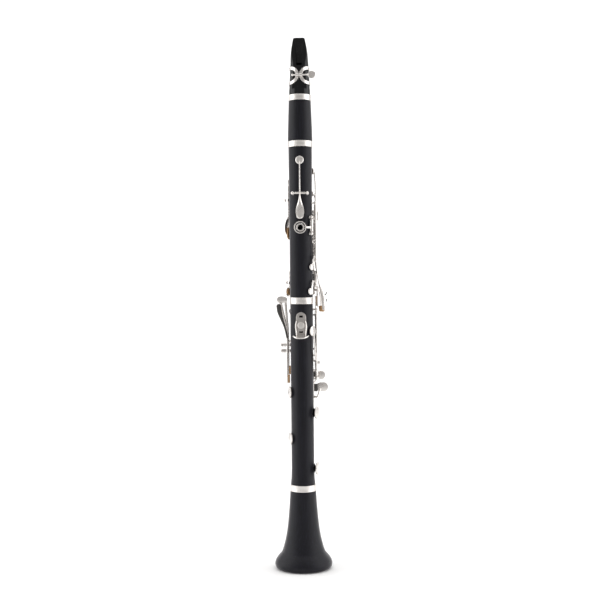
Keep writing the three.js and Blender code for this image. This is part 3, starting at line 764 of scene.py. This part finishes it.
class Key:
    """One key: its metal, with the pads and cork bumpers that are pieces of their own."""

    def __init__(self, node):
        self.node = node
        self.metal = Form()
        self.pads = Form()
        self.corks = Form()

    def cup(self, theta, z, r, face=PAD_PLANE):
        """A domed pad cup with a raised middle, and the pad that stands out of it."""
        metal = [(0, face + 1.1), (r - 0.45, face + 1.1), (r - 0.3, face + 0.75), (r, face + 0.9),
                 (r, face + 1.7), (r - 0.25, face + 2.1), (r * 0.8, face + 2.55), (r * 0.45, face + 2.85),
                 (0, face + 2.95)]
        turned(self.metal, metal, theta, z, 64, 0.3)
        pad = [(0, face), (r - 1.3, face + 0.02), (r - 0.65, face + 0.25), (r - 0.5, face + 0.6),
               (r - 0.55, face + 1.05), (0, face + 1.05)]
        turned(self.pads, pad, theta, z, 64, 0.3)
        return self

    def finger_ring(self, z, plane=16, theta=180, inner=5.9, outer=7.4):
        profile = [(inner, plane), (outer, plane), (outer, plane + 1.4), (inner, plane + 1.4)]
        turned(self.metal, profile, theta, z, 72, 0.45)
        return self

    def tube(self, rod, z0, z1):
        theta, radius = RODS[rod]
        tube(self.metal, at(theta, radius, z0), at(theta, radius, z1))
        return self

    def cross_tube(self, hinge, t0, t1):
        theta, radius, z = HINGES[hinge]
        across, _ = frame_at(theta)
        centre = at(theta, radius, z)
        tube(self.metal, centre + across * t0, centre + across * t1, CROSS_TUBE_R)
        return self

    def bar(self, points, width=2.2):
        bar(self.metal, points, width)
        return self

    def strap(self, start, end, radius, z0, z1, thickness=1.4):
        strap(self.metal, start, end, radius, z0, z1, thickness)
        return self

    def plate(self, *sizes, **more):
        plate(self.metal, *sizes, **more)
        return self

    def blade(self, *sizes, **more):
        blade(self.metal, *sizes, **more)
        return self

    def block(self, *sizes):
        block(self.metal, *sizes)
        return self

    def stick(self, start, end, radius):
        stick(self.metal, start, end, radius)
        return self

    def done(self):
        stand_for(self.metal, self.node, SILVER)
        body = BODY_OF[self.node]
        if self.pads.verts:
            place(self.pads, self.node + "_pads", PAD, body)
        if self.corks.verts:
            place(self.corks, self.node + "_cork", CORK, body)


def make_upper_keys():
    key = Key("register_key").cup(0, 509.9, 5.1, 16.4).cross_tube("register", -6.6, 6.6)
    key.blade(0, [(0, 508, 0.85, 18.7), (0, 490, 0.9, 18.9), (0, 469, 1.0, 18.9), (0, 462, 1.5, 18.8),
                  (0, 456, 2.9, 18.6), (0, 449.5, 4.9, 18.5), (0, 445, 5.25, 18.5), (0, 441.3, 4.7, 18.5)],
              1.6, 1.1)
    plate(key.corks, 0, 16.9, 1.75, (0, 452, 1.4), (0, 446, 2.6), crown=0)
    key.done()

    key = Key("thumb_ring_key").tube("thumb", 421.2, 436.8)
    key.finger_ring(THUMB_Z, 16.1, 0, 6.5, 7.7)
    key.strap(23.5, 53, 16.9, THUMB_Z - 1.2, THUMB_Z + 1.2, 1.3)
    key.done()

    key = Key("first_ring_key").tube("left", 415.4, 445.1).finger_ring(FINGER["l1"])
    key.strap(122, 156, 17.2, FINGER["l1"] - 1.3, FINGER["l1"] + 1.3)
    key.cup(150, 421, 4.4, RAISED_PLANE).strap(122, 149, 17.8, 419.8, 422.2)
    key.done()

    key = Key("second_ring_key").tube("left", 347, 410.6).finger_ring(FINGER["l2"])
    key.strap(122, 156, 17.2, FINGER["l2"] - 1.3, FINGER["l2"] + 1.3)
    key.cup(150, 389, 4.6, RAISED_PLANE).strap(122, 149, 17.8, 387.8, 390.2)
    key.strap(104, 122, 18.8, 347, 350).block(104, (-1.6, 1.6), (19.5, 20.8), (327.5, 350))
    block(key.corks, 104, (-1.4, 1.4), (18.8, 19.6), (328.5, 341), 0.2)
    key.done()

    key = Key("throat_a_key").cup(180, 499, 4.5).cross_tube("throat_a", -4.6, 4.6)
    key.plate(180, 17.7, 1.6, (0, 499, 1.5), (0, 455, 1.6))
    key.plate(180, 18.6, 1.7, (0, 456, 2.6), (0, 451.5, 4.4), crown=0.3)
    key.done()

    key = Key("throat_g_sharp_key").cup(-122, 485, 4.5).cross_tube("throat_g", -4.6, 4.6)
    key.plate(-122, 17.7, 1.6, (0, 485, 1.5), (0, 440, 1.7))
    key.blade(-122, [(0, 440, 2.4, 18.4), (0, 435, 5.4, 19.3), (0, 429, 6.6, 19.9), (0, 423, 6.2, 19.7),
                     (0, 418, 3.4, 19.0)], 1.6, 0.5)
    plate(key.corks, -122, 17, 1.75, (0, 417, 4.4), (0, 424, 4.4), crown=0)
    key.done()

    key = Key("sliver_e_flat_key").cup(-155, 390, 3.8).cross_tube("sliver_e", -3.2, 3.2)
    key.plate(-155, 17.5, 1.5, (0, 390, 1.3), (0, 366, 2.1), crown=0.2)
    key.done()

    key = Key("c_sharp_g_sharp_key").cup(-125, 370, 4.2).cross_tube("c_sharp", -3.6, 3.6)
    key.plate(-125, 17.7, 1.5, (0, 370, 1.5), (0, 355, 1.5))
    key.bar([(-125, 18.4, 357), (-125, 19.2, 353.5), (-125, 20.9, 350), (-125, 20.9, 347)], 3)
    key.plate(-125, 20.1, 1.6, (0, 347.5, 5), (0, 345, 5), crown=0.3)
    turned(key.corks, [(0, 18.4), (4.4, 18.4), (4.4, 20.2), (0, 20.2)], -125, 346.6)
    key.done()


def side_arm(key, theta, start, touch):
    """The long arm of a side key, which twists to face the player as it flares out to its touch."""
    if start > ARM_STRAIGHT_FOOT:
        half_way = (start + ARM_STRAIGHT_FOOT - 2) / 2
        key.bar([(theta, ARM_PLANE, z) for z in (start, half_way, ARM_STRAIGHT_FOOT - 3)], 2.2)
    begin = min(start, ARM_STRAIGHT_FOOT)
    shoulder = begin - 10
    middle = (theta + touch) / 2
    paddle(key.metal, [(theta, ARM_PLANE, begin, 1.8, 0), (theta, 19.3, shoulder, 2.1, 20),
                       (middle, 22.6, (shoulder + 347) / 2, 3.6, 46), (touch, 26.3, 347, 4.9, ARM_ROLL),
                       (touch, 28.1, 336, 4.8, ARM_ROLL), (touch, 29, 325, 4.9, ARM_ROLL)], 1.5)
    cork = [(26.4, 328.5, 4.2), (26.9, 325.5, 4.4), (27.1, 323.2, 4.2)]
    paddle(key.corks, [(touch, radius, z, width, TOUCH_CORK_ROLL) for radius, z, width in cork], 2.6)


def make_side_keys():
    key = Key("side_key_1").tube("side_low", 357, 368).cup(49, 346.7, 4.4)
    key.strap(58, 100, 16.6, 357.9, 360.5)
    key.bar([(60, 17.3, 359.2), (54, 17.6, 354), (49, 17.6, 347.5)], 2.4)
    key.strap(100, 110, 17.4, 362.8, 365.6)
    side_arm(key, 109, 364.5, 120)
    key.done()

    key = Key("side_key_2").tube("side", 387.9, 406.1).cup(57, 377, 4.2)
    key.strap(65, 78, 17.7, 388.8, 391.6)
    key.bar([(67, 18.3, 390.4), (61, 18.0, 384), (57, 17.5, 377.5)], 2.4)
    key.strap(78, 90, 17.8, 394.8, 397.6)
    side_arm(key, 89, 396.2, 78)
    key.done()

    key = Key("side_key_3").tube("side", 410.9, 433.1).cup(125, 470, 4.2)
    key.strap(78, 98, 17.8, 427.7, 430.3)
    key.bar([(97, 18.5, 428.5), (97, 18.9, 433), (97, 21.2, 437.5), (97, 21.2, 445.5), (97.5, 18.9, 450.5),
             (99, 18.6, 461), (110, 18.2, 468), (124, 17.5, 470)])
    side_arm(key, 97, 429, 92)
    # The two hooks are drawn in painted shade: silver like the key, but coloured dark as if in shadow
    hooks = Form()
    for z in (344.5, 335.5):
        bends = [at(92, 27.2, z - 1.2), at(94, 29.8, z - 2.2), at(96, 31.4, z - 0.4), at(96, 31.4, z + 1.6)]
        sweep(hooks, smooth_path(bends, 5), section(1.1, 1.1, 0.45))
    place(hooks, "side_key_3_hooks", PAINTED_SHADOW_METAL, BODY_OF["side_key_3"])
    key.done()

    key = Key("side_key_4").tube("side", 437.9, 455.1).cup(115, 498.4, 4.4)
    key.strap(78, 91, 17.8, 449.8, 452.6)
    key.bar([(90, 18.5, 450.5), (90, 18.5, 463), (96, 18.5, 482), (106, 18.2, 495), (114, 17.6, 498.4)])
    key.strap(78, 106, 17.8, 439.9, 442.5)
    side_arm(key, 105, 441.2, 106)
    key.done()


def paint_shade_beside_touch(node, z, half):
    """Painted shade: a dark block at the inner end of a little-finger touch, turned down beside the body,
    where the touch is in shadow.
    """
    form = Form()
    block(form, 180, (-18.6, -11.6), (17.3, 18.2), (z - half, z + half), 0.5)
    place(form, node + "_heel", PAINTED_SHADOW_METAL, BODY_OF[node])


def make_lower_keys():
    key = Key("right_ring_key").tube("right", 240.4, 321.6)
    for z in (FINGER["r1"], FINGER["r2"], FINGER["r3"]):
        key.finger_ring(z).strap(105, 156, 17.2, z - 1.3, z + 1.3)
    key.cup(150, 317, 4.6, RAISED_PLANE).strap(105, 149, 17.8, 315.8, 318.2)
    key.strap(92, 105, 17, 318, 320.6).block(93, (-1.2, 1.2), (17, 18.1), (318, 341))
    key.strap(92.5, 108, 17, 337, 341, 1.1)
    key.done()

    key = Key("sliver_b_key").tube("sliver", 250.2, 264.3).cup(60, 297, 6.4)
    key.strap(71, 82, 17.5, 259.8, 262.4)
    key.bar([(72, 18.1, 260.8), (69, 18.1, 270), (66, 18, 280), (61, 17.5, 293)])
    key.strap(79, 85, 19.2, 256, 259, 3.6).strap(81, 128, 21.6, 256, 259, 1.3)
    key.bar([(127, 22.2, 257.6), (138, 21.2, 258.6), (150, 19.7, 260.2)])
    key.plate(150, 18.9, 1.6, (-3, 260.5, 2.5), (4.5, 260.5, 2.7))
    key.done()

    key = Key("a_flat_e_flat_key").tube("ab", 208.4, 219.6)
    key.strap(171, 189, 20.6, 211, 214, 2.2).strap(125, 223, 22.2, 211, 214)
    key.bar([(221, 22.9, 212.5), (229, 21.9, 213), (240, 19.6, 214.6), (252, 17.9, 217), (268, 17.6, 219.4),
             (284, 17.6, 220.2)], 3)
    key.cup(-75, 220.4, 7.6)
    key.stick(at(125, 22.9, 212.5), Vector((22, 20, 223)), 1.3)
    key.plate(180, 19.4, 1.6, (-22.6, 225, 5.9), (-26, 225, 6), crown=0.35)
    key.done()
    paint_shade_beside_touch("a_flat_e_flat_key", 224.3, 4.9)

    key = Key("f_c_key").tube("fc", 192.9, 231.1).cup(75, 194.5, 8.2, OPEN_PLANE)
    key.strap(80, 138, 19.0, 195, 198, 1.6)
    key.stick(at(138, 18.5, 228.5), Vector((20, 20, 237)), 1.2)
    key.plate(180, 19.4, 1.6, (-22.5, 240, 5.5), (-23, 240, 5.6), crown=0.35)
    key.done()
    paint_shade_beside_touch("f_c_key", 240, 5.3)

    key = Key("f_sharp_c_sharp_key").tube("fsharp", 160.9, 235).cup(-70, 162.5, 7.4)
    key.strap(210, 288, 16.8, 161.5, 164.5, 1.5)
    key.strap(206, 214, 19.4, 231.6, 234.2, 3.2).strap(165, 210, 21.2, 231.6, 234.2)
    key.block(180, (-9.5, -4), (21.2, 22.6), (231.6, 236))
    key.plate(180, 21.4, 1.6, (-10.5, 238.2, 4.2), (-12, 238.2, 4.2), crown=0.3)
    key.done()

    key = Key("e_b_key").tube("eb", 122, 234).cup(77, 124.7, 8.1, OPEN_PLANE)
    key.strap(82, 158, 19.4, 123.3, 126.3, 1.6)
    key.stick(at(158, 18.5, 225), Vector((10.5, 22, 225)), 1.2)
    key.plate(180, 21.4, 1.6, (-10.5, 225, 4.2), (-12, 225, 4.2), crown=0.3)
    key.done()


def tall_lever(node, hinge, side, foot):
    """A left-hand lever's ear beside its tall post, its cork, and the small screw at its foot."""
    theta, radius, z = HINGES[hinge]
    span = (3.1, 5.7) if side > 0 else (-5.7, -3.1)
    key = Key(node).cross_tube(hinge, *span)
    key.block(theta, span, (17.3, radius), (z - 1.5, z + 1.5))
    inner = (span[0] + 0.2, span[1] - 0.2)
    block(key.corks, theta, inner, (14.9, 17.4), (foot + 0.5, foot + 11), 0.25)
    turned(key.metal, [(0, 17.5), (1.0, 17.5), (1.0, 19.7), (0.7, 20), (0, 20)], theta, foot + 1.6, 20, 0.12,
           shift=4.4 * side)
    return key


def in_plane(plane, stations):
    return [(*station, plane) for station in stations]


def make_levers():
    """The levers' arms lie beside the body, with their faces to the player."""
    key = tall_lever("left_e_b_lever", "lever_eb", 1, 231.6)
    arm = [(-18.4, 233, 1.15), (-18.4, 262, 1.2), (-18.4, 288, 1.3), (-21, 301, 1.35), (-24.6, 312, 1.9),
           (-27.4, 321, 2.9), (-28.5, 328.5, 3.0)]
    key.blade(0, in_plane(LEVER_NEAR, arm), 1.6, 0.35)
    key.done()
    # Painted shade: a thin dark sheet on the touch's face towards the player, where the silver touch is in
    # shadow
    shadow_sheet = Form()
    face = [(-18.5, 289, 0.9), (-20.9, 301, 1.15), (-24.6, 312, 1.9), (-27.4, 321, 2.85),
            (-28.5, 328.3, 2.95)]
    blade(shadow_sheet, 0, in_plane(LEVER_NEAR + 1.5, face), 0.6, 0.35)
    place(shadow_sheet, "left_e_b_lever_painted_shadow", PAINTED_SHADOW_METAL, BODY_OF["left_e_b_lever"])
    key = tall_lever("left_f_sharp_lever", "lever_f", -1, 242)
    arm = [(-17.4, 243.5, 1.1), (-17.4, 270, 1.2), (-17.7, 289, 1.3), (-20.6, 305, 1.4), (-24.2, 321, 1.6),
           (-26.8, 333, 1.8)]
    brace = [(-17.5, 284, 1.0), (-18, 300, 1.3), (-19.6, 318, 1.6), (-20.6, 334, 1.7)]
    touch = [(-27.6, 336.4, 4.2), (-25, 336.6, 4.4), (-22.3, 336.4, 3.9)]
    for stations, thickness, crown in ((arm, 1.6, 0.3), (brace, 1.4, 0.2), (touch, 1.7, 0.35)):
        key.blade(0, in_plane(LEVER_FAR, stations), thickness, crown)
    key.done()
    key = Key("left_f_c_lever").cross_tube("lever_fc", -3.2, 3.2)
    key.blade(-143, [(0, 263, 1.35, 17.6), (0, 284, 1.4, 17.7), (0, 299, 1.5, 17.7), (0, 311, 2.0, 20.4),
                     (0, 322, 3.0, 24.2)], 1.6, 0.3)
    key.done()


# ---- posts, thumb rest

def add_post(form, theta, reach, z, foot, shift=0):
    """A turned post: a foot on the wood, a waist and a ball."""
    profile = [(0, foot), (1.75, foot), (1.75, foot + 0.35), (1.25, foot + 0.75),
               (1.1, max(foot + 0.9, reach - BALL_R - 0.3))]
    for k in range(1, 15):
        a = -math.pi / 2 + math.pi * (k + 1.2) / 16.2
        profile.append((max(BALL_R * math.cos(a), 0.02), reach + BALL_R * math.sin(a)))
    turned(form, profile + [(0, reach + BALL_R)], theta, z, 32, 0.12, shift)


def pivot_screw(form, centre, along):
    """The head of a rod's screw, which stands just out of its post's ball."""
    stick(form, centre + along * 1.2, centre + along * (BALL_R + 0.12), 1.0, 20, 0.15)


def rod_set(node, rod, levels, foot):
    """A rod along the body, with its posts at these levels."""
    theta, radius = RODS[rod]
    form = Form()
    stick(form, at(theta, radius, min(levels)), at(theta, radius, max(levels)), ROD_R)
    for z in levels:
        add_post(form, theta, radius, z, foot)
    for z, side in ((min(levels), -1), (max(levels), 1)):
        pivot_screw(form, at(theta, radius, z), UP * side)
    stand_for(form, node, SILVER)


def cross_set(node, hinge, half, body):
    """A rod across the body, with a post at each end."""
    theta, radius, z = HINGES[hinge]
    across, _ = frame_at(theta)
    foot = math.sqrt((body + 0.3) ** 2 - (half - 1.4) ** 2)
    form = Form()
    centre = at(theta, radius, z)
    stick(form, centre - across * half, centre + across * half, ROD_R)
    for side in (-1, 1):
        add_post(form, theta, radius, z, foot, side * half)
        pivot_screw(form, centre + across * side * half, across * side)
    stand_for(form, node, SILVER)


def tall_post(node, hinge, side):
    """A stout turned column with a pin through it for the lever."""
    theta, radius, z = HINGES[hinge]
    across, _ = frame_at(theta)
    form = Form()
    foot = LOWER_R + 0.3
    column = [(0, foot), (2.2, foot), (2.2, foot + 0.4), (1.5, foot + 0.9), (1.4, foot + 2),
              (2.15, foot + 3.1), (2.25, 25.6), (1.9, 26.6), (1.0, 27.1), (0, 27.15)]
    turned(form, column, theta, z, 40, 0.3)
    head = at(theta, radius, z)
    end = head + across * 7.4 * side
    stick(form, head, end, ROD_R)
    ball(form, end, 1.4)
    stand_for(form, node, NICKEL)


def make_posts():
    upper, lower = UPPER_R + 0.3, LOWER_R + 0.3
    for key, hinge, half, body in (
        ("register_key", "register", 9, THROAT_R),
        ("throat_a_key", "throat_a", 7, THROAT_R),
        ("throat_g_sharp_key", "throat_g", 7, UPPER_R),
        ("sliver_e_flat_key", "sliver_e", 5.6, UPPER_R),
        ("c_sharp_g_sharp_key", "c_sharp", 6, UPPER_R),
        ("left_f_c_lever", "lever_fc", 5.6, LOWER_R),
    ):
        cross_set(key + "_posts", hinge, half, body)
    for key, rod, levels, foot in (
        ("thumb_ring_key", "thumb", (418.8, 439.2), upper),
        ("ring_key", "left", (344.6, 413, 447.5), upper),
        ("side_key", "side", (385.5, 408.5, 435.5, 457.5), upper),
        ("side_key_1", "side_low", (354.6, 370.4), upper),
        ("right_ring_key", "right", (238, 324), lower),
        ("sliver_b_key", "sliver", (247.7, 266.8), lower),
        ("a_flat_e_flat_key", "ab", (206, 222), lower),
        ("f_c_key", "fc", (190.5, 233.5), lower),
        ("f_sharp_c_sharp_key", "fsharp", (158.5, 237.4), lower),
        ("e_b_key", "eb", (119.6, 236.4), lower),
    ):
        rod_set(key + "_posts", rod, levels, foot)
    tall_post("left_e_b_lever_post", "lever_eb", 1)
    tall_post("left_f_sharp_lever_post", "lever_f", -1)


def make_thumb_rest():
    """A base plate on two wood screws, and the hook that slides on it under a clamp screw."""
    form = Form()
    plate(form, 0, 14.7, 1.4, (0, 298.4, 6.2), (0, 314.5, 6.2), crown=0)
    stand_for(form, "thumb_rest_plate", NICKEL)
    heads, slot_shadows = Form(), Form()
    for z in REST_SCREWS:
        turned(heads, [(0, 15.9), (2.75, 15.9), (2.6, 16.2), (0, 16.3)], 0, z, 40, 0.1)
        # Each slot is a dark block of painted shadow laid across the screw's head
        block(slot_shadows, 0, (-2.3, 2.3), (15.9, 16.7), (z - 1.3, z + 1.3), 0.1)
    place(heads, "thumb_rest_wood_screws", NICKEL, "lower_joint_body")
    place(slot_shadows, "thumb_rest_screw_slot_shadows", SLOT_SHADOW, "lower_joint_body")
    form = Form()
    for side in (-1, 1):
        ear = [(side * t, z, half) for t, z, half in ((5.6, 309.4, 0.9), (6.3, 303.5, 1.2), (5.9, 297.5, 1.0),
                                                      (5.3, 290.3, 0.9))]
        blade(form, 0, in_plane(REST_EAR_PLANE, ear), 1.7, 0.8)
    bridge = Form()
    collar = [(0, 307.4, 4.6), (0, 303.6, 4.9), (0, 301.6, 4.6)]
    for stations in (collar, [(-5.2, 304, 1.2), (5.2, 304, 1.2)]):
        blade(bridge, 0, in_plane(REST_BRIDGE_PLANE, stations), 0.9, 0.05)
    place(bridge, "thumb_rest_bridge", NICKEL, "thumb_rest_hook")
    stem = Form()
    block(stem, 0, (-4.1, 4.1), (REST_BRIDGE_PLANE, 17.8), (288.9, 293.2))
    place(stem, "thumb_rest_stem", NICKEL, "thumb_rest_hook")
    rings = []
    for k in range(-14, 15):
        t = k / 14
        x, lift, reach = 9.75 * t, 288.1 + 2.6 * abs(t) ** 2.6, 33.4 - 6 * abs(t) ** 3
        outline = soften([(16.5, 0), (reach, 0), (reach, 1.6), (16.5, 1.6)], 0.7)
        rings.append([Vector((x, -out, lift + up)) for out, up in outline])
    form.loft(rings)
    stand_for(form, "thumb_rest_hook", SILVER)
    form = Form()
    head = [(0, REST_CLAMP_PLANE), (3.9, REST_CLAMP_PLANE), (4.15, 18.2), (4.15, 20.2), (3.8, 20.6),
            (0, 20.7)]
    turned(form, head, 0, REST_CLAMP_Z, 64, 0.15)
    stand_for(form, "thumb_rest_screw", SILVER)


make_upper_keys()
make_side_keys()
make_lower_keys()
make_levers()
make_posts()
make_thumb_rest()


# ---- stage

ROOM_TONE = (1.0, 0.985, 0.97, 1)
ROOM_STRENGTH = 0.46
SIDE_WATTS = 13
BACKDROP_WATTS = 12
TOP_WATTS = 21
CAMERA_AZIMUTH = 3
CAMERA_DISTANCE = 1300
CAMERA_LEVEL = 336
CAMERA_LENS = 62
CAMERA_SHIFT = -1.9
CAMERA_ROLL = -0.52


def make_stage():
    """A pale floor that curves up into a backdrop."""
    half, front, wall, top, bend, lead = 4200, -2600, 2400, 4200, 900, 1500
    steps = 24
    profile = [(front, 0)]
    for k in range(steps + 1):
        a = math.pi / 2 * k / steps
        profile.append((lead + bend * math.sin(a), bend - bend * math.cos(a)))
    profile.append((wall, top))
    points = [Vector((x, y, z)) * MM for x in (-half, half) for y, z in profile]
    count = len(profile)
    faces = [(k, k + 1, count + k + 1, count + k) for k in range(count - 1)]
    mesh = bpy.data.meshes.new("backdrop")
    mesh.from_pydata(points, [], faces)
    mesh.shade_smooth()
    floor = bpy.data.objects.new("backdrop", mesh)
    bpy.context.scene.collection.objects.link(floor)
    look = Look("pale_floor", (0.93, 0.93, 0.93), 0.65)
    look.tint(look.noise(3, detail=2), (0.3, (0.92, 0.92, 0.92)), (0.7, (0.94, 0.94, 0.94)))
    mesh.materials.append(look.made)


def add_light(name, place_mm, size, power, aim=(0, 0, 330)):
    light = bpy.data.lights.new(name, "AREA")
    light.shape = "RECTANGLE"
    light.size, light.size_y = size
    light.energy = power
    lamp = bpy.data.objects.new(name, light)
    lamp.location = Vector(place_mm) * MM
    direction = Vector(aim) * MM - lamp.location
    lamp.rotation_euler = direction.to_track_quat("-Z", "Y").to_euler()
    bpy.context.scene.collection.objects.link(lamp)


def make_light():
    """An even room, a lit backdrop, and a tall soft box on each side that edges the dark body with light."""
    world = bpy.data.worlds.new("studio")
    bpy.context.scene.world = world
    world.use_nodes = True
    background = world.node_tree.nodes["Background"]
    background.inputs["Color"].default_value = ROOM_TONE
    background.inputs["Strength"].default_value = ROOM_STRENGTH
    for side in (-1, 1):
        add_light("side_box", (side * 1150, -150, 420), (1.2, 1.9), SIDE_WATTS)
        aim = (side * 300, 2400, 500)
        add_light("backdrop_box", (side * 900, 700, 1500), (1.4, 1.4), BACKDROP_WATTS, aim)
    add_light("top_box", (0, 500, 2300), (2.4, 2.4), TOP_WATTS, (0, 300, 0))


def make_camera():
    """A long lens level with the middle of the body, turned and rolled a little."""
    azimuth = math.radians(CAMERA_AZIMUTH)
    camera = bpy.data.cameras.new("camera")
    camera.sensor_width = 36
    camera.lens = CAMERA_LENS
    eye = bpy.data.objects.new("camera", camera)
    sideways = Vector((math.cos(azimuth), math.sin(azimuth), 0))
    back = Vector((math.sin(azimuth), -math.cos(azimuth), 0))
    aim = sideways * CAMERA_SHIFT + UP * CAMERA_LEVEL
    eye.location = (aim + back * CAMERA_DISTANCE) * MM
    turn = (-back).to_track_quat("-Z", "Y").to_matrix().to_4x4()
    roll = Matrix.Rotation(math.radians(CAMERA_ROLL), 4, "Z")
    eye.rotation_euler = (turn @ roll).to_euler()
    bpy.context.scene.collection.objects.link(eye)
    bpy.context.scene.camera = eye


make_stage()
make_light()
make_camera()
bpy.context.scene.view_settings.view_transform = "Standard"
